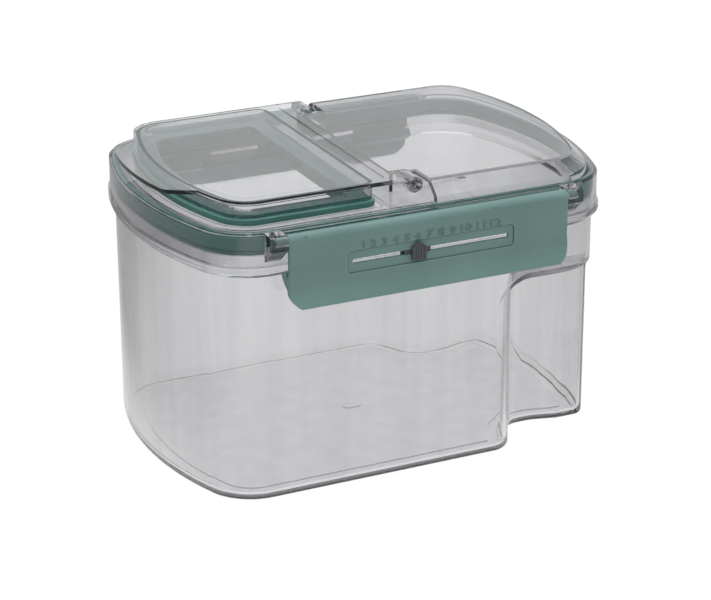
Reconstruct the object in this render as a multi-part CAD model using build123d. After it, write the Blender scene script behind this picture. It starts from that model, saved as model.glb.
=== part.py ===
"""Clear food keeper with a gasketed lid, a flip-up pour flap, two side latches and date dials.

Millimetres, +Z up. The origin is on the surface that the tub stands on, under the middle of
the tub. X runs along the length with the pour flap towards -X, and the front is towards -Y.
"""
import os
from math import atan2, hypot, tan

from build123d import *

# Tub
tub_length = 240.0
tub_width = 165.0
tub_height = 132.2
end_bow = 19.0
tub_corner = 29.0
tub_wall = 2.2
floor_thickness = 2.2
bottom_round = 3.5
floor_round = 4.0
floor_pad_inset = 11.0
floor_pad_height = 0.8

# Rim of the tub: a ribbed flange outside, below a lip that enters the lid's gasket
lip_height = 5.2
flange_depth = 5.5
flange_overhang = 3.6
flange_ramp = 2.2
flange_rib_depth = 0.5
flange_rib_width = 0.8
flange_rib_pitch = 1.6

# Hand grip: the same waist on the front and on the back, measured from the right end
grip_length = 68.0
grip_slant = 14.0
grip_depth = 26.3
grip_height = 95.5
grip_flare = 4.0
grip_flare_length = 14.0
grip_flare_end = 25.0
grip_round = 10.0
grip_corner = 12.0
grip_end_corner = 5.0
grip_arch = 18.0

# Gate mark on the floor
gate_length = 11.0
gate_width = 6.0
gate_height = 0.5

# Lid
parting_gap = 0.4
lid_height = 17.2
skirt_overhang = 2.4
skirt_gap = 0.4
deck_thickness = 2.4
deck_edge = 1.3
channel_width = 3.4
channel_wall = 1.8
channel_depth = 6.2

# Raised right half of the lid, leaning in from its base to its top
dome_rise = 9.7
dome_base_inset = 0.5
dome_inset = 11.0
dome_wall = 2.4
dome_round = 1.6

# Pour opening in the left half, and the shallow seat round it
opening_inset = 18.0
opening_corner = 6.0
seat_inset = 8.0
seat_corner = 4.0
seat_depth = 0.8

# Flap hinge: pins on the lid turn in ears of the flap
hinge_x = 2.0
ear_radius = 4.2
ear_length = 13.5
pocket_gap = 1.0
pocket_wall = 2.0
pin_radius = 2.0
pin_length = 11.0
pin_clearance = 0.06
pin_end_gap = 1.0

# Distances from the flap hinge line, to the left and for the pocket to the right
dome_setback = 7.3
seat_setback = 16.0
flap_gasket_setback = 20.5
flap_wall_setback = 21.0
opening_setback = 28.5
pocket_reach = 7.0

# Pour flap
flap_rise = 1.9
flap_thickness = 2.2
flap_inset = 11.0
flap_gap = 1.0
flap_rim = 6.0
flap_panel_depth = 0.4
flap_wall = 2.0
flap_wall_inset = 12.5
flap_ledge_thickness = 1.5
plug_gap = 3.0
plug_wall = 1.8
plug_depth = 5.4
tab_reach = 13.4
tab_bow = 3.9
tab_root_half_width = 43.5
tab_tip_half_width = 35.0
tab_corner = 5.0

# Flap gasket
flap_gasket_height = 2.8
flap_gasket_inset = 10.3
flap_gasket_skirt = 2.0
flap_gasket_lip = 1.0

# Lid gasket
gasket_height = 7.4
gasket_rib_width = 1.2

# Clearances
fit_gap = 0.3
seat_gap = 0.1

# Side latches
latch_length = 154.0
latch_standoff = 12.1
latch_thickness = 2.4
latch_axis_inset = 3.4
latch_axis_drop = 3.6
latch_height = 34.2
latch_corner = 10.0
trunnion_radius = 2.0
trunnion_length = 6.0
lip_length = 7.0
lip_flare = 3.0
lip_thickness = 2.2
lip_widening = 1.6

# Hook of each latch, under the bevel of the flange
hook_bite = 1.5
hook_rise = 2.8
hook_bevel = 2.6
hook_nose = 1.1
hook_under_slope = 3.4
hook_under_drop = 2.5
hook_root_drop = 2.2
clip_channel = 2.0
clip_channel_depth = 2.1
hook_start = 49.5

# Lugs of the lid that carry the latches
lug_width = 8.6
lug_root = 26.0
lug_lift = 2.1
lug_gap = 0.4
lug_radius = 3.4

# Date dial on each latch
dial_length = 92.6
dial_height = 11.6
dial_drop = 15.0
dial_depth = 0.6
dial_corner = 2.0
slot_length = 86.6
slot_height = 2.4
slot_corner = 0.5
knob_width = 7.7
knob_height = 9.6
knob_lift = 0.7
knob_point = 3.0
knob_thickness = 2.2
knob_grooves = 4
knob_groove_pitch = 1.5
knob_groove_width = 0.6
knob_groove_depth = 0.4
slider_wing = 14.4
slider_clip_length = 16.4
slider_clip_height = 6.0
slider_clip_thickness = 1.2
slider_rest_x = -7.6

# Places that follow from the sizes, from the floor upwards
half_length = tub_length / 2
half_width = tub_width / 2
flange_top = tub_height - lip_height
flange_underside = flange_top - flange_depth
skirt_foot = flange_top + parting_gap
deck_top = skirt_foot + lid_height
ceiling = deck_top - deck_thickness
seat_top = deck_top - seat_depth
dome_top = deck_top + dome_rise
flap_top = dome_top + flap_rise
flap_under = flap_top - flap_thickness
flap_ledge = seat_top + fit_gap + flap_gasket_height
plug_foot = flap_ledge - plug_depth
hinge_z = flap_top - ear_radius
ear_end = half_width - flap_inset
ear_inner = ear_end - ear_length
pocket_inner = ear_inner - pocket_gap
dome_left = hinge_x - dome_setback
opening_right = hinge_x - opening_setback
latch_plane = half_width + latch_standoff
latch_axis_y = latch_plane - latch_axis_inset
latch_axis_z = deck_top - latch_axis_drop
latch_foot = latch_axis_z - latch_height
dial_z = latch_axis_z - dial_drop
sides = (("front", -1), ("back", 1))


def near(items, x, y):
    """The vertex of a flat outline that lies nearest to a place."""
    return min(items, key=lambda v: hypot(v.X - x, v.Y - y))


def raw_outline():
    """The tub's plan before its corners are rounded: straight sides and bowed ends."""
    x = half_length - end_bow
    with BuildSketch() as sketch:
        with BuildLine():
            Line((-x, -half_width), (x, -half_width))
            ThreePointArc((x, -half_width), (half_length, 0), (x, half_width))
            Line((x, half_width), (-x, half_width))
            ThreePointArc((-x, half_width), (-half_length, 0), (-x, -half_width))
        make_face()
    return sketch.sketch


def tub_outline():
    """The plan of the rim, with no hand grip."""
    face = raw_outline()
    return fillet(face.vertices(), tub_corner)


def grip_polygon(side):
    """What the hand grip takes out of the plan on one side."""
    waist = half_width - grip_depth
    start = half_length - grip_length
    flare_end = half_length - grip_flare_end
    far = half_length + end_bow
    points = [
        (start, half_width + grip_depth),
        (start, half_width),
        (start + grip_slant, waist),
        (flare_end - grip_flare_length, waist),
        (flare_end, waist + grip_flare),
        (far, waist + grip_flare),
        (far, half_width + grip_depth),
    ]
    return make_face(Polyline([(x, side * y) for x, y in points], close=True))


def grip_end(flare_y):
    """X where the flared waist meets the bowed end."""
    radius = (half_width**2 + end_bow**2) / (2 * end_bow)
    return half_length - radius + (radius**2 - flare_y**2) ** 0.5


def waist_outline():
    """The plan of the lower tub, drawn in at the hand grip."""
    face = raw_outline()
    for _, side in sides:
        face -= grip_polygon(side)
    waist = half_width - grip_depth
    flare_y = waist + grip_flare
    left = half_length - end_bow
    start = half_length - grip_length
    flare_end = half_length - grip_flare_end
    places = [
        (-left, half_width, tub_corner),
        (start, half_width, grip_corner),
        (start + grip_slant, waist, grip_corner),
        (flare_end - grip_flare_length, waist, 2 * grip_corner),
        (flare_end, flare_y, 2 * grip_corner),
        (grip_end(flare_y), flare_y, grip_end_corner),
    ]
    for x, y, radius in places:
        for _, side in sides:
            face = fillet(near(face.vertices(), x, side * y), radius)
    return face


def slab(sketch, bottom, top):
    """A flat outline made into a solid between two heights."""
    return extrude(Pos(0, 0, bottom) * sketch, top - bottom, dir=(0, 0, 1))


def grown(sketch, amount):
    """The outline moved outwards, or inwards for a negative amount."""
    return offset(sketch, amount=amount, kind=Kind.ARC)


def ring(outline, outer, inner, bottom, top):
    """A band that follows the outline between two offsets and two heights."""
    return slab(grown(outline, outer), bottom, top) - slab(grown(outline, inner), bottom, top)


def edges_at(solid, height):
    """Edges that lie flat at a height."""
    return solid.edges().filter_by(
        lambda e: abs(e.bounding_box().min.Z - height) < 1e-4
        and abs(e.bounding_box().max.Z - height) < 1e-4
    )


def grip_arch_cut(wall):
    """What lies under the arch of the grips, seen from the front, grown by a wall thickness."""
    lead = grip_corner * tan(atan2(grip_depth, grip_slant) / 2)
    left = half_length - grip_length - lead - wall
    right = half_length + 2 * end_bow
    top = grip_height + wall
    corners = [(left, -tub_corner), (left, top), (right, top), (right, -tub_corner)]
    face = make_face(Polyline(corners, close=True))
    face = fillet(near(face.vertices(), left, top), grip_arch + wall)
    return extrude(Plane.XZ * face, 2 * tub_width, both=True)


def grip_block(waist, wall):
    """The hand grips as solids to cut away, their ceilings rounded into their walls."""
    bottom = -tub_corner
    top = grip_height + wall
    zone_left = half_length - grip_length - 2 * grip_corner
    zone_right = half_length + 2 * end_bow
    zone = Pos((zone_left + zone_right) / 2, 0) * Rectangle(zone_right - zone_left, 2 * tub_width)
    block = slab(zone - waist, bottom, top)
    boxes = [(e, e.bounding_box()) for e in edges_at(block, top)]
    wall_edges = [e for e, b in boxes if b.min.X > zone_left + 1 and b.max.X < half_length + 1]
    return fillet(wall_edges, grip_round + wall) & grip_arch_cut(wall)


def make_tub():
    rim = tub_outline()
    waist = waist_outline()
    rim_inner = grown(rim, -tub_wall)
    waist_inner = grown(waist, -tub_wall)
    body = slab(rim, 0, tub_height) - grip_block(waist, 0)
    body = fillet(edges_at(body, 0), bottom_round)
    hollow = slab(rim_inner, floor_thickness, tub_height + 1)
    hollow -= grip_block(waist_inner, tub_wall)
    hollow = fillet(edges_at(hollow, floor_thickness), floor_round)
    flange = slab(grown(rim, flange_overhang), flange_underside, flange_top)
    flange = chamfer(edges_at(flange, flange_underside), flange_ramp)
    for step in (1, 2):
        height = flange_top - step * flange_rib_pitch
        outer = flange_overhang + 1
        inner = flange_overhang - flange_rib_depth
        flange -= ring(rim, outer, inner, height - flange_rib_width / 2, height + flange_rib_width / 2)
    body = body + (flange - slab(rim, flange_underside, flange_top)) - hollow
    pad_top = floor_thickness + floor_pad_height
    body += slab(grown(waist, -floor_pad_inset), floor_thickness / 2, pad_top)
    return body + slab(SlotOverall(gate_length, gate_width), floor_thickness, pad_top + gate_height)


def half_plane(limit, keep_left=True):
    """A wide sheet on one side of a line across the length."""
    side = -1 if keep_left else 1
    return Pos(limit + side * tub_length, 0, 0) * Rectangle(2 * tub_length, 2 * tub_width)


def left_outline(inset, right, corner):
    """The part of the inset plan left of a line, with its two right corners rounded."""
    face = grown(tub_outline(), -inset) & half_plane(right)
    for y in (-half_width, half_width):
        face = fillet(near(face.vertices(), right, y), corner)
    return face


def box_between(x, y, z):
    """A box from three pairs of limits."""
    size = [high - low for low, high in (x, y, z)]
    middle = [(high + low) / 2 for low, high in (x, y, z)]
    return Pos(*middle) * Box(*size)


def side_box(x, side, u, z):
    """A box whose second pair of limits is measured outwards from the middle plane."""
    y = sorted((side * u[0], side * u[1]))
    return box_between(x, y, z)


def side_profile(lines, side, start, length):
    """A profile drawn outwards and upwards, run along the length from a start."""
    plane = Plane(origin=(start, 0, 0), x_dir=(0, side, 0), z_dir=(side, 0, 0))
    face = plane * make_face(lines)
    return extrude(face, length, dir=(1, 0, 0))


def side_plane(side, x, u, z):
    """A plane that faces outwards on one side, with its second axis upwards."""
    return Plane(origin=(x, side * u, z), x_dir=(-side, 0, 0), z_dir=(0, side, 0))


def rod_x(radius, start, length, side, u, z):
    """A round rod along the length."""
    return Pos(start + length / 2, side * u, z) * Rot(0, 90, 0) * Cylinder(radius, length)


def hinge_rod(radius, side, near_y, far_y):
    """A round rod on the flap hinge line, between two distances from the middle plane."""
    middle = side * (near_y + far_y) / 2
    return Pos(hinge_x, middle, hinge_z) * Rot(90, 0, 0) * Cylinder(radius, far_y - near_y)


def opening_outline():
    return left_outline(opening_inset, opening_right, opening_corner)


def dome_core(outset, bottom, top, base):
    """The raised half as a solid that leans in, seen as far down as the given base."""
    rim = tub_outline()
    lean = (dome_inset - dome_base_inset) / (dome_top - deck_top)
    low = dome_base_inset + outset + lean * (bottom - deck_top)
    high = dome_base_inset + outset + lean * (top - deck_top)
    core = loft([Pos(0, 0, bottom) * grown(rim, -low), Pos(0, 0, top) * grown(rim, -high)], ruled=True)
    return core & slab(base, bottom, top)


def make_dome():
    """The raised right half, with an open pocket for each ear of the flap."""
    rim = tub_outline()
    dome = dome_core(0, deck_top, dome_top, grown(rim, -dome_base_inset))
    dome &= slab(half_plane(dome_left, False), 0, dome_top + 1)
    for _, side in sides:
        pocket_x = (dome_left - 1, hinge_x + pocket_reach)
        dome -= side_box(pocket_x, side, (pocket_inner, half_width), (deck_top, dome_top + 1))
    top_edges = edges_at(dome, dome_top)
    return fillet(top_edges, dome_round)


def dome_hollow():
    """The space under the raised half, open to the tub."""
    rim = tub_outline()
    lean = (dome_inset - dome_base_inset) / (dome_top - deck_top)
    outset = dome_wall * (1 + lean**2) ** 0.5
    bottom = ceiling
    top = dome_top - dome_wall
    hollow = dome_core(outset, bottom, top, grown(rim, -channel_width - channel_wall))
    hollow &= slab(half_plane(dome_left + dome_wall, False), 0, dome_top)
    for _, side in sides:
        wall_x = hinge_x + pocket_reach + pocket_wall
        wall_y = pocket_inner - pocket_wall
        hollow -= side_box((dome_left - 1, wall_x), side, (wall_y, half_width), (bottom - 1, dome_top))
    return hollow


def make_lug(side, end):
    """The block on the skirt that holds one pin of a latch."""
    inner = half_width - lug_root
    foot = skirt_foot + lug_lift
    top = latch_axis_z + lug_radius
    outer = latch_axis_y + lug_radius
    turn = lug_radius * 0.5**0.5
    lines = [
        Line((inner, foot), (half_width + skirt_overhang, foot)),
        Line((half_width + skirt_overhang, foot), (outer, latch_axis_z - lug_radius)),
        Line((outer, latch_axis_z - lug_radius), (outer, latch_axis_z)),
        ThreePointArc((outer, latch_axis_z), (latch_axis_y + turn, latch_axis_z + turn), (latch_axis_y, top)),
        Line((latch_axis_y, top), (inner, top)),
        Line((inner, top), (inner, foot)),
    ]
    near_x = latch_length / 2 + lug_gap
    start = near_x if end > 0 else -near_x - lug_width
    lug = side_profile(lines, side, start, lug_width)
    bore_start = near_x - 1 if end > 0 else -near_x - trunnion_length - fit_gap
    bore_length = trunnion_length + fit_gap + 1
    bore_radius = trunnion_radius + pin_clearance
    bore = rod_x(bore_radius, bore_start, bore_length, side, latch_axis_y, latch_axis_z)
    return lug - bore


def make_lid():
    rim = tub_outline()
    inside = grown(rim, skirt_gap)
    shell = slab(grown(rim, skirt_overhang), skirt_foot, deck_top)
    shell = chamfer(edges_at(shell, deck_top), deck_edge)
    for _, side in sides:
        for end in (-1, 1):
            shell += make_lug(side, end)
    shell -= slab(inside, 0, ceiling)
    shell += ring(rim, -channel_width, -channel_width - channel_wall, ceiling - channel_depth, ceiling)
    shell -= slab(left_outline(seat_inset, hinge_x - seat_setback, seat_corner), seat_top, deck_top + 1)
    shell -= slab(opening_outline(), ceiling - 1, deck_top + 1)
    shell += make_dome()
    shell -= dome_hollow()
    for _, side in sides:
        shell += hinge_rod(pin_radius, side, pocket_inner - pocket_wall / 2, pocket_inner + pin_length)
    return shell


def make_lid_gasket():
    rim = tub_outline()
    gasket_foot = ceiling - gasket_height
    body = ring(rim, skirt_gap - seat_gap, seat_gap - channel_width, gasket_foot, ceiling)
    rib_outer = (gasket_rib_width - tub_wall) / 2
    rib = ring(rim, rib_outer, rib_outer - gasket_rib_width, tub_height + fit_gap, gasket_foot)
    return body + rib


def tab_outline():
    """The finger tab that reaches past the left end of the flap."""
    root = -half_length + flap_inset + tab_corner
    tip = -half_length + flap_inset - tab_reach + tab_bow
    points = [
        (root, -tab_root_half_width),
        (tip, -tab_tip_half_width),
    ]
    with BuildSketch() as sketch:
        with BuildLine():
            Line(points[0], points[1])
            ThreePointArc(points[1], (tip - tab_bow, 0), (tip, tab_tip_half_width))
            Line((tip, tab_tip_half_width), (root, tab_root_half_width))
            Line((root, tab_root_half_width), points[0])
        make_face()
    face = sketch.sketch
    for y in (-tab_tip_half_width, tab_tip_half_width):
        face = fillet(near(face.vertices(), tip, y), tab_corner)
    return face


def make_pour_flap():
    plate = grown(tub_outline(), -flap_inset) & half_plane(dome_left - flap_gap)
    plate = plate + tab_outline()
    flap = slab(plate, flap_under, flap_top)
    for _, side in sides:
        link_x = (dome_left - flap_gap - 1, hinge_x)
        flap += side_box(link_x, side, (ear_inner, ear_end), (flap_under, flap_top))
        flap += hinge_rod(ear_radius, side, ear_inner, ear_end)
    panel = grown(tub_outline(), -flap_inset - flap_rim) & half_plane(dome_left - flap_gap - flap_rim)
    flap -= slab(panel, flap_top - flap_panel_depth, flap_top + 1)
    opening = opening_outline()
    plug_outer = grown(opening, -plug_gap)
    plug_inner = grown(opening, -plug_gap - plug_wall)
    walls = left_outline(flap_wall_inset, hinge_x - flap_wall_setback, opening_corner)
    flap += slab(walls, flap_ledge, flap_under) - slab(grown(walls, -flap_wall), flap_ledge, flap_under)
    flap += slab(walls, flap_ledge, flap_ledge + flap_ledge_thickness) - slab(plug_inner, 0, flap_top)
    flap += slab(plug_outer, plug_foot, flap_ledge) - slab(plug_inner, plug_foot, flap_ledge)
    for _, side in sides:
        bore = pin_radius + pin_clearance
        flap -= hinge_rod(bore, side, ear_inner - 1, pocket_inner + pin_length + pin_end_gap)
    return flap


def make_flap_gasket():
    opening = opening_outline()
    outer = left_outline(flap_gasket_inset, hinge_x - flap_gasket_setback, opening_corner)
    inner = grown(opening, -plug_gap)
    flange = slab(outer, flap_ledge - flap_gasket_height, flap_ledge) - slab(inner, 0, flap_top)
    skirt = slab(grown(opening, flap_gasket_skirt - plug_gap), plug_foot - flap_gasket_lip, flap_ledge)
    return flange + (skirt - slab(inner, 0, flap_top))


def latch_front_outline():
    """The latch seen from its own side: straight ends that widen at the lip."""
    half = latch_length / 2
    wide = half + lip_widening
    low = latch_foot - 1
    points = [(half, latch_axis_z + latch_corner), (half, latch_foot + 2 * lip_length), (wide, low)]
    points += [(-x, z) for x, z in reversed(points)]
    face = make_face(Polyline(points, close=True))
    for x in (-wide, wide):
        face = fillet(near(face.vertices(), x, low), latch_corner)
    return face


def make_latch(side):
    half = latch_length / 2
    wide = half + lip_widening
    inner = latch_plane - latch_thickness
    tip = half_width + flange_overhang - hook_bite
    lip_out = latch_plane + lip_flare
    lip_start = latch_foot + lip_length
    plate_lines = Polyline(
        (inner, latch_axis_z),
        (latch_plane, latch_axis_z),
        (latch_plane, lip_start),
        (lip_out, latch_foot),
        (lip_out - lip_thickness, latch_foot),
        (inner, lip_start - 1),
        close=True,
    )
    latch = side_profile(plate_lines, side, -wide, 2 * wide)
    hook_top = flange_underside + hook_rise
    nose = hook_top - hook_bevel - hook_nose
    hook_lines = Polyline(
        (inner, hook_top - clip_channel_depth),
        (inner - clip_channel, hook_top - clip_channel_depth),
        (inner - clip_channel, hook_top),
        (tip + hook_bevel, hook_top),
        (tip, hook_top - hook_bevel),
        (tip, nose),
        (tip + hook_under_slope, nose - hook_under_drop),
        (inner, nose - hook_under_drop - hook_root_drop),
        close=True,
    )
    for start in (-wide, hook_start):
        latch += side_profile(hook_lines, side, start, wide - hook_start)
    latch += rod_x(latch_axis_inset, -half, latch_length, side, latch_axis_y, latch_axis_z)
    view = side_plane(-1, 0, 0, 0) * latch_front_outline()
    latch &= extrude(view, 2 * tub_width, both=True)
    dial = RectangleRounded(dial_length, dial_height, dial_corner)
    upright = side_plane(side, 0, latch_plane - dial_depth / 2, dial_z)
    latch -= extrude(upright * dial, dial_depth / 2, both=True)
    slot_face = upright * RectangleRounded(slot_length, slot_height, slot_corner)
    slot = extrude(slot_face, 2 * latch_thickness, both=True)
    latch -= slot & side_box((-half, half), side, (inner - 0.1, latch_plane + 1), (0, deck_top))
    for end in (-1, 1):
        start = half - 1 if end > 0 else -half - trunnion_length
        latch += rod_x(trunnion_radius, start, trunnion_length + 1, side, latch_axis_y, latch_axis_z)
    return latch


def make_slider(side):
    """The pointer: a ribbed knob outside, a tongue in the slot and a clip behind the plate."""
    inner = latch_plane - latch_thickness
    face = latch_plane - dial_depth
    low = dial_z + knob_lift - knob_height / 2
    shoulder = low + knob_height - knob_point
    half = knob_width / 2
    points = [(-half, low), (half, low), (half, shoulder), (0, low + knob_height), (-half, shoulder)]
    knob_face = side_plane(side, slider_rest_x, face + fit_gap, 0) * make_face(Polyline(points, close=True))
    knob = extrude(knob_face, knob_thickness, dir=(0, side, 0))
    outer = face + fit_gap + knob_thickness
    for step in range(knob_grooves):
        x = slider_rest_x + (step - (knob_grooves - 1) / 2) * knob_groove_pitch
        groove = (x - knob_groove_width / 2, x + knob_groove_width / 2)
        knob -= side_box(groove, side, (outer - knob_groove_depth, outer + 1), (low - 1, low + knob_height))
    wing = (slider_rest_x - slider_wing / 2, slider_rest_x + slider_wing / 2)
    tongue_half = slot_height / 2 - fit_gap
    tongue_z = (dial_z - tongue_half, dial_z + tongue_half)
    tongue = side_box(wing, side, (inner - fit_gap, face - fit_gap / 2), tongue_z)
    neck = (slider_rest_x - half + 1, slider_rest_x + half - 1)
    neck = side_box(neck, side, (inner, face + fit_gap), tongue_z)
    clip_u = (inner - fit_gap - slider_clip_thickness, inner - fit_gap)
    clip_z = (dial_z - slider_clip_height / 2, dial_z + slider_clip_height / 2)
    clip_x = (slider_rest_x - slider_clip_length / 2, slider_rest_x + slider_clip_length / 2)
    clip = side_box(clip_x, side, clip_u, clip_z)
    return knob + neck + tongue + clip


parts = {
    "tub": make_tub(),
    "lid": make_lid(),
    "lid_gasket": make_lid_gasket(),
    "pour_flap": make_pour_flap(),
    "flap_gasket": make_flap_gasket(),
}
for side_name, side_sign in sides:
    parts[f"{side_name}_latch"] = make_latch(side_sign)
    parts[f"{side_name}_date_slider"] = make_slider(side_sign)

os.makedirs("parts", exist_ok=True)
for part_name, part_shape in parts.items():
    export_step(part_shape, f"parts/{part_name}.step")
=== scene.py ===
from math import cos, pi, radians, sin

import bmesh
import bpy
from mathutils import Matrix, Vector
from mathutils.geometry import convex_hull_2d


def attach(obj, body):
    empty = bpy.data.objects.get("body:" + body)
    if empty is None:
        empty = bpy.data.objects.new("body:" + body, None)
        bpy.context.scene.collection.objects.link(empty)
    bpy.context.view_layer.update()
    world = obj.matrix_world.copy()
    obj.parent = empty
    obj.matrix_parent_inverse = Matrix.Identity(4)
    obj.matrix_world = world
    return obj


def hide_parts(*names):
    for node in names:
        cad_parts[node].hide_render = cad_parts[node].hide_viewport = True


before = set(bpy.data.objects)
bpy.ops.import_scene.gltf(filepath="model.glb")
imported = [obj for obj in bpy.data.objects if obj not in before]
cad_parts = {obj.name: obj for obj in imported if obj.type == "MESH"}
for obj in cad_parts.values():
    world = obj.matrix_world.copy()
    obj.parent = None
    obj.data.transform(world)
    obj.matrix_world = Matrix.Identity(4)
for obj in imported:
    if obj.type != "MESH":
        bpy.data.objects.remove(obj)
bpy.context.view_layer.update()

mm = 0.001  # the pieces' sizes and places below are in millimetres


# A node's output, so that shader maths reads as plain maths.
class Wire:
    def __init__(self, tree, socket):
        self.tree = tree
        self.socket = socket

    def maths(self, operation, first, second=0.0):
        return addNode(self.tree, "ShaderNodeMath", {"operation": operation}, {0: first, 1: second})

    def __add__(self, other):
        return self.maths("ADD", self, other)

    __radd__ = __add__

    def __sub__(self, other):
        return self.maths("SUBTRACT", self, other)

    def __rsub__(self, other):
        return self.maths("SUBTRACT", other, self)

    def __mul__(self, other):
        return self.maths("MULTIPLY", self, other)

    __rmul__ = __mul__

    def __truediv__(self, other):
        return self.maths("DIVIDE", self, other)

    def __rtruediv__(self, other):
        return self.maths("DIVIDE", other, self)

    def __pow__(self, other):
        return self.maths("POWER", self, other)

    def __rpow__(self, other):
        return self.maths("POWER", other, self)

    def __gt__(self, other):
        return self.maths("GREATER_THAN", self, other)

    def __lt__(self, other):
        return self.maths("LESS_THAN", self, other)

    def __abs__(self):
        return self.maths("ABSOLUTE", self)

    def larger(self, other):
        return self.maths("MAXIMUM", self, other)


def addNode(tree, kind, settings=None, values=None, output=0):
    node = tree.nodes.new(kind)
    for name, setting in (settings or {}).items():
        setattr(node, name, setting)
    for name, value in (values or {}).items():
        if isinstance(value, Wire):
            tree.links.new(value.socket, node.inputs[name])
        else:
            node.inputs[name].default_value = value
    if node.outputs:
        return Wire(tree, node.outputs[output])


def solid(colour, strength=1.0):
    return (*(part * strength for part in colour), 1.0)


def grey(level):
    return (level, level, level, 1.0)


def blendColour(tree, factor, first, second):
    return addNode(tree, "ShaderNodeMix", {"data_type": "RGBA"}, {0: factor, 6: first, 7: second}, 2)


def smoothRange(tree, value, low, high, newLow=0.0, newHigh=1.0):
    values = {0: value, 1: low, 2: high, 3: newLow, 4: newHigh}
    return addNode(tree, "ShaderNodeMapRange", {"interpolation_type": "SMOOTHSTEP"}, values)


def noise(tree, place, scale, detail, roughness=0.5, stretch=None):
    if stretch:
        place = addNode(tree, "ShaderNodeMapping", None, {"Vector": place, "Scale": stretch})
    values = {"Vector": place, "Scale": scale, "Detail": detail, "Roughness": roughness}
    return addNode(tree, "ShaderNodeTexNoise", None, values)


def bumpOf(tree, height, strength, distance):
    values = {"Strength": strength, "Distance": distance, "Height": height}
    return addNode(tree, "ShaderNodeBump", None, values)


def axisOf(tree, place, axis):
    return addNode(tree, "ShaderNodeSeparateXYZ", None, {0: place}, axis)


def rayIs(tree, kind):
    return addNode(tree, "ShaderNodeLightPath", output=kind)


def newMaterial(name):
    material = bpy.data.materials.new(name)
    material.use_nodes = True
    tree = material.node_tree
    tree.nodes.clear()
    return material, tree, addNode(tree, "ShaderNodeTexCoord", output="Object")


def addObject(name, data):
    holder = bpy.data.objects.new(name, data)
    bpy.context.scene.collection.objects.link(holder)
    return holder


def addPiece(name, mesh, material):
    mesh.materials.clear()
    mesh.materials.append(material)
    return addObject(name, mesh)


def plainMesh(piece):
    graph = bpy.context.evaluated_depsgraph_get()
    return bpy.data.meshes.new_from_object(piece.evaluated_get(graph))


def applyModifiers(piece):
    mesh = plainMesh(piece)
    piece.modifiers.clear()
    piece.data = mesh
    return piece


def nodeBox(node):
    places = [vert.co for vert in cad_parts[node].data.vertices]
    low = Vector([min(place[axis] for place in places) for axis in range(3)])
    high = Vector([max(place[axis] for place in places) for axis in range(3)])
    return low, high


def settle(piece, body, node=None):
    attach(piece, body)
    if node:
        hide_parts(node)


print("frame loaded:", len(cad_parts), "nodes")

clearLook = {
    "index": 1.46,  # of refraction
    "rough": (0.015, 0.05),
    "cloudRange": (0.35, 0.65),
    "scuffScale": 160.0,
    "scuffRange": (0.45, 0.75),
    "bump": 0.25,
    "longestPath": 4.0,  # bounces, after which light leaves the walls
}

tubLook = {
    **clearLook,
    "tint": (0.835, 0.835, 0.842),
    "haze": (0.79, 0.792, 0.798),
    "passing": (0.95, 0.95, 0.955),  # what each surface lets straight through
    "smoke": (0.50, 0.50, 0.52),
    "smokeDensity": 55.0,
    "ripple": 0.30,
    "rippleScale": 70.0,
    "stretch": (1.0, 1.0, 0.05),  # upright flow marks
}

lidLook = {
    **clearLook,
    "tint": (0.80, 0.805, 0.812),
    "haze": (0.77, 0.776, 0.784),
    "passing": (0.94, 0.94, 0.945),
    "smoke": (0.50, 0.495, 0.53),
    "smokeDensity": 75.0,
    "ripple": 0.02,
    "rippleScale": 30.0,
    "stretch": None,
}

flapLook = {**lidLook, "rippleScale": 34.0}


def clearPlastic(name, look):
    material, tree, place = newMaterial(name)
    clouds = noise(tree, place, look["rippleScale"], detail=3.0, roughness=0.6, stretch=look["stretch"])
    shade = smoothRange(tree, clouds, *look["cloudRange"])
    scuffs = noise(tree, place, look["scuffScale"], detail=4.0, roughness=0.6)
    flow = noise(tree, place, look["rippleScale"], detail=1.0, roughness=0.4, stretch=look["stretch"])
    plasticValues = {
        "Base Color": blendColour(tree, shade, solid(look["tint"]), solid(look["haze"])),
        "Roughness": smoothRange(tree, scuffs, *look["scuffRange"], *look["rough"]),
        "IOR": look["index"],
        "Transmission Weight": 1.0,
        "Normal": bumpOf(tree, flow, look["bump"], look["ripple"] * mm),
    }
    plastic = addNode(tree, "ShaderNodeBsdfPrincipled", None, plasticValues)
    clear = addNode(tree, "ShaderNodeBsdfTransparent", None, {"Color": solid(look["passing"])})
    # Light on its way to what lies inside passes straight through the thin walls.
    straight = rayIs(tree, "Is Shadow Ray").larger(rayIs(tree, "Is Diffuse Ray"))
    # A path caught inside a wall leaves it in the end, so that no edge goes black.
    straight = straight.larger(rayIs(tree, "Ray Depth") > look["longestPath"])
    skin = addNode(tree, "ShaderNodeMixShader", None, {0: straight, 1: plastic, 2: clear})
    smokeValues = {"Color": solid(look["smoke"]), "Density": look["smokeDensity"]}
    smoke = addNode(tree, "ShaderNodeVolumeAbsorption", None, smokeValues)
    addNode(tree, "ShaderNodeOutputMaterial", None, {"Surface": skin, "Volume": smoke})
    return material


copyLimits = {
    "merge": 0.02,  # points nearer than this are one
    "sliver": 0.01,  # shorter edges go
    "cut": 0.001,
}

shellFinish = {
    "softBelow": 28.0,  # degrees
    "largeFaces": 90,  # weight of the normals
}


# A node comes as loose triangles, which are joined before anything else is done to them.
def cadCopy(node):
    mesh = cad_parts[node].data.copy()
    for attribute in ("custom_normal", "sharp_edge", "sharp_face"):
        if attribute in mesh.attributes:
            mesh.attributes.remove(mesh.attributes[attribute])
    work = bmesh.new()
    work.from_mesh(mesh)
    bmesh.ops.remove_doubles(work, verts=work.verts, dist=copyLimits["merge"] * mm)
    return mesh, work


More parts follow.
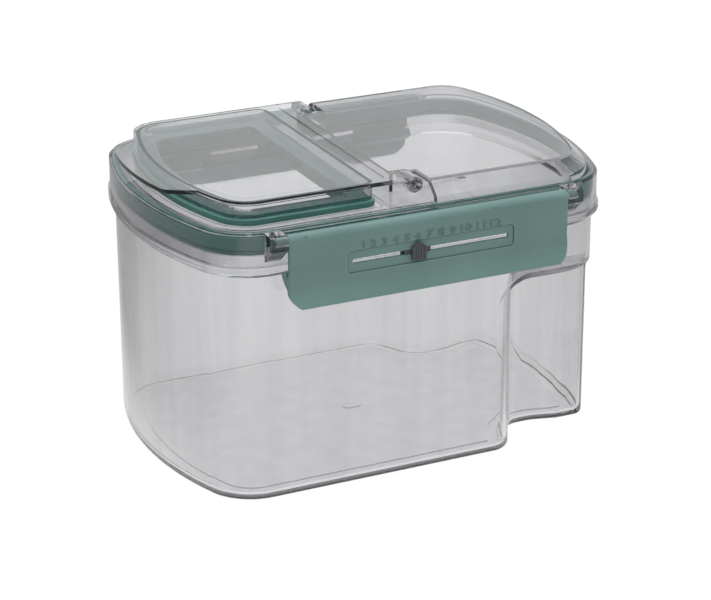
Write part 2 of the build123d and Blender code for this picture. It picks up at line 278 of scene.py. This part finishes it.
def smoothPiece(name, mesh, work, material, largeFaces):
    for face in work.faces:
        face.smooth = True
    work.to_mesh(mesh)
    work.free()
    piece = addPiece(name, mesh, material)
    weighted = piece.modifiers.new("normals", "WEIGHTED_NORMAL")
    weighted.weight = largeFaces
    weighted.keep_sharp = True
    return applyModifiers(piece)


def softCopy(node, name, material):
    mesh, work = cadCopy(node)
    bmesh.ops.dissolve_degenerate(work, edges=work.edges, dist=copyLimits["sliver"] * mm)
    for edge in work.edges:
        edge.smooth = edge.calc_face_angle(pi) < radians(shellFinish["softBelow"])
    return smoothPiece(name, mesh, work, material, shellFinish["largeFaces"])


clearPieces = (
    ("tub", "tubShell", "tub_body", "clear_tub", clearPlastic("clearTub", tubLook)),
    ("lid", "lidShell", "lid_body", "clear_lid", clearPlastic("clearLid", lidLook)),
    ("pour_flap", "flapShell", "flap_body", "clear_flap", clearPlastic("clearFlap", flapLook)),
)
for node, name, body, slot, material in clearPieces:
    settle(softCopy(node, name, material), body, node)
print("clear shells done")

mouldLook = {
    "index": 1.48,
    "cloudScale": 30.0,
    "grainScale": 900.0,
    "grainShare": 0.3,  # the clouds have the rest
    "shadeRange": (0.35, 0.65),
    "grainRange": (0.3, 0.7),
    "bump": 0.6,
}

# Painted shade and painted highlight around the date dial's recess on the latch.
dialFrame = {
    "halfLength": 46.3,
    "halfHeight": 5.8,
    "height": 19.2,  # of its middle, above the latch's foot
    "corner": 2.0,
    "footStart": (-0.6, -0.15),  # from the dial's edge outwards
    "rimStart": (0.05, 0.3),
    "rimEnd": (0.45, 0.8),
    # painted shade along the foot of the step, then painted highlight on the rim
    "shade": 0.72,
    "paintedHighlight": 1.16,
}

latchLow = nodeBox("front_latch")[0]


# Masks for the painted shade at the foot of the dial's step and the painted highlight on its rim.
def frameLine(tree, place):
    corner = dialFrame["corner"] * mm
    height = axisOf(tree, place, "Z") - (latchLow.z + dialFrame["height"] * mm)
    length = (abs(axisOf(tree, place, "X")) - (dialFrame["halfLength"] * mm - corner)).larger(0.0)
    rise = (abs(height) - (dialFrame["halfHeight"] * mm - corner)).larger(0.0)
    outside = ((length * length + rise * rise) ** 0.5 - corner) / mm
    rimStart = smoothRange(tree, outside, *dialFrame["rimStart"])
    foot = smoothRange(tree, outside, *dialFrame["footStart"]) - rimStart
    rimHighlight = rimStart - smoothRange(tree, outside, *dialFrame["rimEnd"])
    return foot, rimHighlight


def mouldedPlastic(name, look, framed=False):
    material, tree, place = newMaterial(name)
    clouds = noise(tree, place, look["cloudScale"], detail=3.0)
    grain = noise(tree, place, look["grainScale"], detail=2.0, roughness=0.6)
    mottle = clouds * (1.0 - look["grainShare"]) + grain * look["grainShare"]
    shade = smoothRange(tree, mottle, *look["shadeRange"])
    colour = blendColour(tree, shade, solid(look["dark"]), solid(look["light"]))
    if framed:
        # Painted shade along the foot of the date dial's step and a painted highlight along its rim stand in
        # for the light on the recess's edges.
        foot, rimHighlight = frameLine(tree, place)
        colour = blendColour(tree, foot, colour, solid(look["dark"], dialFrame["shade"]))
        colour = blendColour(tree, rimHighlight, colour, solid(look["light"], dialFrame["paintedHighlight"]))
    plasticValues = {
        "Base Color": colour,
        "Roughness": smoothRange(tree, grain, *look["grainRange"], *look["rough"]),
        "IOR": look["index"],
        "Normal": bumpOf(tree, grain, look["bump"], look["depth"] * mm),
    }
    plastic = addNode(tree, "ShaderNodeBsdfPrincipled", None, plasticValues)
    addNode(tree, "ShaderNodeOutputMaterial", None, {"Surface": plastic})
    return material


edgeFinish = {
    "bevelFrom": 35.0,  # degrees
    "bevelSteps": 3,
    "bevelShape": 0.5,
    "softBelow": 50.0,
    "largeFaces": 50,
}


def roundedCopy(node, name, material, shape):
    mesh, work = cadCopy(node)
    # Loops beside a shallow crease keep its soft shading in a narrow band.
    for height in shape.get("creaseLoops", ()):
        level = {"plane_co": (0, 0, nodeBox(node)[0].z + height * mm), "plane_no": (0, 0, 1)}
        geometry = list(work.verts) + list(work.edges) + list(work.faces)
        bmesh.ops.bisect_plane(work, geom=geometry, dist=copyLimits["cut"] * mm, **level)
    bevelFrom = radians(edgeFinish["bevelFrom"])
    bevel = {
        "geom": [edge for edge in work.edges if edge.calc_face_angle(0.0) > bevelFrom],
        "offset": shape["edge"] * mm,
        "segments": edgeFinish["bevelSteps"],
        "profile": edgeFinish["bevelShape"],
        "affect": "EDGES",
        "clamp_overlap": True,
    }
    bmesh.ops.bevel(work, **bevel)
    for edge in work.edges:
        edge.smooth = edge.calc_face_angle(0.0) < radians(edgeFinish["softBelow"])
    return smoothPiece(name, mesh, work, material, edgeFinish["largeFaces"])


sealLook = {
    **mouldLook,
    "light": (0.064, 0.170, 0.148),
    "dark": (0.048, 0.140, 0.121),
    "rough": (0.15, 0.25),
    "depth": 0.015,
}

# The lips are counted from the top of each seal.
lidSealShape = {"edge": 1.5, "lips": 3, "firstLip": 2.0, "pitch": 1.8}
flapSealShape = {"edge": 0.7, "lips": 2, "firstLip": 0.7, "pitch": 1.0}
sealLips = {"radius": 0.42, "proud": 0.08, "sides": 10}


def sweepTree(name):
    tree = bpy.data.node_groups.new(name, "GeometryNodeTree")
    inputs = (("Path", "Geometry"), ("Radius", "Float"), ("Sides", "Int"), ("Finish", "Material"))
    for label, kind in inputs:
        tree.interface.new_socket(label, in_out="INPUT", socket_type="NodeSocket" + kind)
    tree.interface.new_socket("Swept", in_out="OUTPUT", socket_type="NodeSocketGeometry")
    path, radius, sides, finish = (addNode(tree, "NodeGroupInput", output=label) for label, _ in inputs)
    spine = addNode(tree, "GeometryNodeMeshToCurve", None, {0: path})
    circle = addNode(tree, "GeometryNodeCurvePrimitiveCircle", None, {"Radius": radius, "Resolution": sides})
    tube = addNode(tree, "GeometryNodeCurveToMesh", None, {"Curve": spine, "Profile Curve": circle})
    smooth = addNode(tree, "GeometryNodeSetShadeSmooth", None, {0: tube})
    real = addNode(tree, "GeometryNodeRealizeInstances", None, {0: smooth})
    shown = addNode(tree, "GeometryNodeSetMaterial", None, {"Geometry": real, "Material": finish})
    addNode(tree, "NodeGroupOutput", None, {0: shown})
    return tree


def hullLoop(node, inset):
    flat = [Vector((vert.co.x, vert.co.y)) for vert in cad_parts[node].data.vertices]
    order = [flat[index] for index in convex_hull_2d(flat)]
    # Each point moves inwards, square to the outline, so that the lips stand only a little proud.
    loop = []
    for index, point in enumerate(order):
        before, after = order[index - 1], order[(index + 1) % len(order)]
        along = ((point - before).normalized() + (after - point).normalized()).normalized()
        loop.append(point + Vector((-along.y, along.x)) * inset * mm)
    return loop


def sweepLips(name, node, shape, material, tree):
    loop = hullLoop(node, sealLips["radius"] - sealLips["proud"])
    top = nodeBox(node)[1].z
    corners, edges = [], []
    for lip in range(shape["lips"]):
        height = top - (shape["firstLip"] + lip * shape["pitch"]) * mm
        start = len(corners)
        corners += [(point.x, point.y, height) for point in loop]
        edges += [(start + index, start + (index + 1) % len(loop)) for index in range(len(loop))]
    mesh = bpy.data.meshes.new(name)
    mesh.from_pydata(corners, edges, [])
    piece = addObject(name, mesh)
    sweep = piece.modifiers.new("sweep", "NODES")
    sweep.node_group = tree
    names = {item.name: item.identifier for item in tree.interface.items_tree if item.in_out == "INPUT"}
    sweep[names["Radius"]] = sealLips["radius"] * mm
    sweep[names["Sides"]] = sealLips["sides"]
    sweep[names["Finish"]] = material
    return applyModifiers(piece)


sealGreen = mouldedPlastic("sealGreen", sealLook)
lipTree = sweepTree("sealSweep")
seals = (("lid_gasket", "lidSeal", "lid", lidSealShape), ("flap_gasket", "flapSeal", "flap", flapSealShape))
for node, name, carrier, shape in seals:
    settle(roundedCopy(node, name, sealGreen, shape), f"{carrier}_body", node)
for node, name, carrier, shape in seals:
    lips = sweepLips(f"{name}Lips", node, shape, sealGreen, lipTree)
    settle(lips, f"{carrier}_body")
print("seals done")

latchLook = {
    **mouldLook,
    "light": (0.123, 0.214, 0.200),
    "dark": (0.109, 0.192, 0.179),
    "rough": (0.36, 0.48),
    "depth": 0.03,
}

numberLook = {
    **mouldLook,
    "light": (0.092, 0.164, 0.150),
    "dark": (0.082, 0.148, 0.135),
    "rough": (0.31, 0.41),
    "depth": 0.02,
}

pointerLook = {
    **mouldLook,
    "light": (0.060, 0.064, 0.070),
    "dark": (0.045, 0.047, 0.052),
    "rough": (0.39, 0.51),
    "depth": 0.02,
}

latchShape = {"edge": 0.35, "creaseLoops": (11.5, 2.5)}  # heights above the latch's foot
pointerShape = {"edge": 0.12}

dial = {
    "numbers": 12,
    "height": 3.6,
    "widen": 1.5,
    "gap": 2.75,
    "centre": (0.4, 27.3),  # across, and above the latch's foot
    "inset": 3.0,  # of the plate behind the flared lip
    "relief": 0.5,
    "softness": 0.08,
    "curveSteps": 4,
    "bevelSteps": 1,
    "ejectorMarks": ((-68.4, 36.4), (35.6, 34.8)),
    "markRadius": 0.55,
    "markFlatness": 0.3,
    "markSteps": (20, 10),
}


def onPlate(across, height):
    return Matrix.Translation((across, latchLow.y + dial["inset"] * mm, latchLow.z + height))


def numberMesh(text):
    curve = bpy.data.curves.new("number", "FONT")
    curve.body = text
    curve.align_x = "LEFT"
    curve.size = 1.0
    curve.resolution_u = dial["curveSteps"]
    holder = addObject("number", curve)
    tall = holder.dimensions.y
    curve.size = dial["height"] * mm / tall
    curve.extrude = dial["relief"] * mm / 2
    curve.bevel_depth = dial["softness"] * mm
    curve.bevel_resolution = dial["bevelSteps"]
    bpy.context.view_layer.update()
    mesh = plainMesh(holder)
    bpy.data.objects.remove(holder)
    low = min(vert.co.x for vert in mesh.vertices)
    high = max(vert.co.x for vert in mesh.vertices)
    foot = min(vert.co.y for vert in mesh.vertices)
    wide = dial["widen"]
    mesh.transform(Matrix.Diagonal((wide, 1, 1, 1)) @ Matrix.Translation((-low, -foot, 0)))
    return mesh, (high - low) * wide


def numberRow():
    numbers = [numberMesh(str(value)) for value in range(1, dial["numbers"] + 1)]
    gap = dial["gap"] * mm
    run = sum(width for _, width in numbers) + gap * (len(numbers) - 1)
    across, height = dial["centre"]
    place = across * mm - run / 2
    foot = height * mm - dial["height"] * mm / 2
    stand = Matrix.Rotation(pi / 2, 4, "X")  # the numbers are drawn lying down
    for mesh, width in numbers:
        mesh.transform(onPlate(place, foot) @ stand)
        place += width + gap
    return [mesh for mesh, _ in numbers]


def ejectorMark(across, height):
    work = bmesh.new()
    around, rings = dial["markSteps"]
    bmesh.ops.create_uvsphere(work, u_segments=around, v_segments=rings, radius=dial["markRadius"] * mm)
    mark = bpy.data.meshes.new("mark")
    work.to_mesh(mark)
    work.free()
    flatten = Matrix.Diagonal((1, dial["markFlatness"], 1, 1))
    mark.transform(onPlate(across * mm, height * mm) @ flatten)
    return mark


def mergeMeshes(name, parts):
    work = bmesh.new()
    for mesh in parts:
        work.from_mesh(mesh)
    merged = bpy.data.meshes.new(name)
    work.to_mesh(merged)
    work.free()
    return merged


def dialFace(name, turned, material):
    marks = [ejectorMark(*place) for place in dial["ejectorMarks"]]
    mesh = mergeMeshes(name, numberRow() + marks)
    for face in mesh.polygons:
        face.use_smooth = True
    if turned:
        mesh.transform(Matrix.Rotation(pi, 4, "Z"))
    return addPiece(name, mesh, material)


latchGreen = mouldedPlastic("latchGreen", latchLook, framed=True)
numberGreen = mouldedPlastic("numberGreen", numberLook)
pointerGrey = mouldedPlastic("pointerGrey", pointerLook)
for label, turned in (("front", False), ("back", True)):
    latch = roundedCopy(f"{label}_latch", f"{label}LatchShell", latchGreen, latchShape)
    settle(latch, f"{label}_latch_body", f"{label}_latch")
    face = dialFace(f"{label}DialNumbers", turned, numberGreen)
    settle(face, f"{label}_latch_body")
    pointer = roundedCopy(f"{label}_date_slider", f"{label}Pointer", pointerGrey, pointerShape)
    settle(pointer, f"{label}_slider_body", f"{label}_date_slider")
print("latches and pointers done")

shot = {
    "azimuth": -25.28,  # degrees
    "elevation": 21.703,
    "roll": -0.196,
    "target": (2.575, 0.0, 64.237),
    "distance": 1306.0,
    "focalPixels": 2428.0,
    "imageWidth": 711,
    "sensor": 36.0,
    "farthest": 100.0,  # metres
}


def addCamera():
    azimuth = radians(shot["azimuth"])
    elevation = radians(shot["elevation"])
    roll = radians(shot["roll"])
    back = Vector((sin(azimuth) * cos(elevation), -cos(azimuth) * cos(elevation), sin(elevation)))
    right = Vector((0, 0, 1)).cross(back).normalized()
    up = back.cross(right)
    turnedRight = right * cos(roll) + up * sin(roll)
    turnedUp = up * cos(roll) - right * sin(roll)
    lens = bpy.data.cameras.new("photoCamera")
    lens.sensor_width = shot["sensor"]
    lens.lens = shot["focalPixels"] / shot["imageWidth"] * shot["sensor"]
    lens.clip_end = shot["farthest"]
    matrix = Matrix((turnedRight, turnedUp, back)).transposed().to_4x4()
    matrix.translation = (Vector(shot["target"]) + back * shot["distance"]) * mm
    camera = addObject("photoCamera", lens)
    camera.matrix_world = matrix
    bpy.context.scene.camera = camera


backdrop = {
    "left": 0.36,  # greys beside the white strip
    "right": 0.60,
    "floorEdge": (0.095, 0.20),  # metres from the middle of the strip
    "airEdge": (0.06, 0.30),
    "skyTop": 0.48,
    "skyRise": (0.30, 0.62),
}


def paperStrip(tree, place, edge):
    # The paper is a strip along the view: what bends far sideways in the clear walls sees grey.
    azimuth = radians(shot["azimuth"])
    sideways = (cos(azimuth), sin(azimuth), 0.0)
    dot = {"operation": "DOT_PRODUCT"}
    across = addNode(tree, "ShaderNodeVectorMath", dot, {0: place, 1: sideways}, "Value")
    beside = blendColour(tree, across > 0.0, grey(backdrop["left"]), grey(backdrop["right"]))
    return blendColour(tree, smoothRange(tree, abs(across), *edge), grey(1.0), beside)


def seenRays(tree):
    camera = rayIs(tree, "Is Camera Ray")
    return camera, camera.larger(rayIs(tree, "Is Glossy Ray")).larger(rayIs(tree, "Is Transmission Ray"))


floor = {
    "size": 14.0,  # metres
    "drop": 0.4,  # below the tub's foot
    "tones": (0.94, 0.97),
    "toneScale": 3.0,
    "bounce": 0.55,
    "shadowDepth": 0.07,
}


def buildFloor():
    half, low = floor["size"] / 2, -floor["drop"] * mm
    mesh = bpy.data.meshes.new("studioFloor")
    corners = [(-half, -half, low), (half, -half, low), (half, half, low), (-half, half, low)]
    mesh.from_pydata(corners, [], [(0, 1, 2, 3)])
    material, tree, place = newMaterial("palePaper")
    tones = (grey(level) for level in floor["tones"])
    paper = blendColour(tree, noise(tree, place, floor["toneScale"], detail=2.0), *tones)
    camera, seen = seenRays(tree)
    matt = blendColour(tree, seen, grey(floor["bounce"]), paper)
    matt = addNode(tree, "ShaderNodeBsdfDiffuse", None, {"Color": matt})
    glow = blendColour(tree, camera, paperStrip(tree, place, backdrop["floorEdge"]), grey(1.0))
    white = addNode(tree, "ShaderNodeEmission", None, {"Color": glow, "Strength": 1.0})
    factor = seen * (1.0 - floor["shadowDepth"])
    shader = addNode(tree, "ShaderNodeMixShader", None, {0: factor, 1: matt, 2: white})
    addNode(tree, "ShaderNodeOutputMaterial", None, {"Surface": shader})
    addPiece("studioFloor", mesh, material)


air = {
    "fill": 0.27,
    "zenith": 1.50,
    "fillRise": (0.0, 0.9),
}


def buildAir():
    world = bpy.data.worlds.new("studioAir")
    bpy.context.scene.world = world
    world.use_nodes = True
    tree = world.node_tree
    tree.nodes.clear()
    direction = addNode(tree, "ShaderNodeTexCoord", output="Generated")
    height = axisOf(tree, direction, "Z")
    camera, seen = seenRays(tree)
    rise = smoothRange(tree, height, *backdrop["skyRise"])
    strip = paperStrip(tree, direction, backdrop["airEdge"])
    around = blendColour(tree, rise, strip, grey(backdrop["skyTop"]))
    around = blendColour(tree, camera, around, grey(1.0))
    rise = smoothRange(tree, height, *air["fillRise"])
    fill = blendColour(tree, rise, grey(air["fill"]), grey(air["zenith"]))
    colour = blendColour(tree, seen, fill, around)
    background = addNode(tree, "ShaderNodeBackground", None, {"Color": colour, "Strength": 1.0})
    addNode(tree, "ShaderNodeOutputWorld", None, {"Surface": background})


# Places and sizes are in metres.
softboxes = {
    "overheadSoftbox": {"place": (-0.1, 0.1, 1.5), "aim": (0, 0, 0.1), "size": (1.2, 0.9), "power": 9.0},
    "leftSoftbox": {"place": (-1.3, -0.9, 0.9), "aim": (0, 0, 0.08), "size": (0.7, 1.0), "power": 3.0},
    "rightSoftbox": {"place": (1.2, -0.8, 0.8), "aim": (0, 0, 0.08), "size": (0.5, 0.9), "power": 2.0},
}


def addSoftbox(name, box):
    lamp = bpy.data.lights.new(name, "AREA")
    lamp.shape = "RECTANGLE"
    lamp.size, lamp.size_y = box["size"]
    lamp.energy = box["power"]
    holder = addObject(name, lamp)
    holder.location = box["place"]
    towards = Vector(box["aim"]) - Vector(box["place"])
    holder.rotation_euler = towards.to_track_quat("-Z", "Y").to_euler()


buildFloor()
buildAir()
for name, box in softboxes.items():
    addSoftbox(name, box)
addCamera()
bpy.context.scene.view_settings.view_transform = "Standard"
print("studio done")
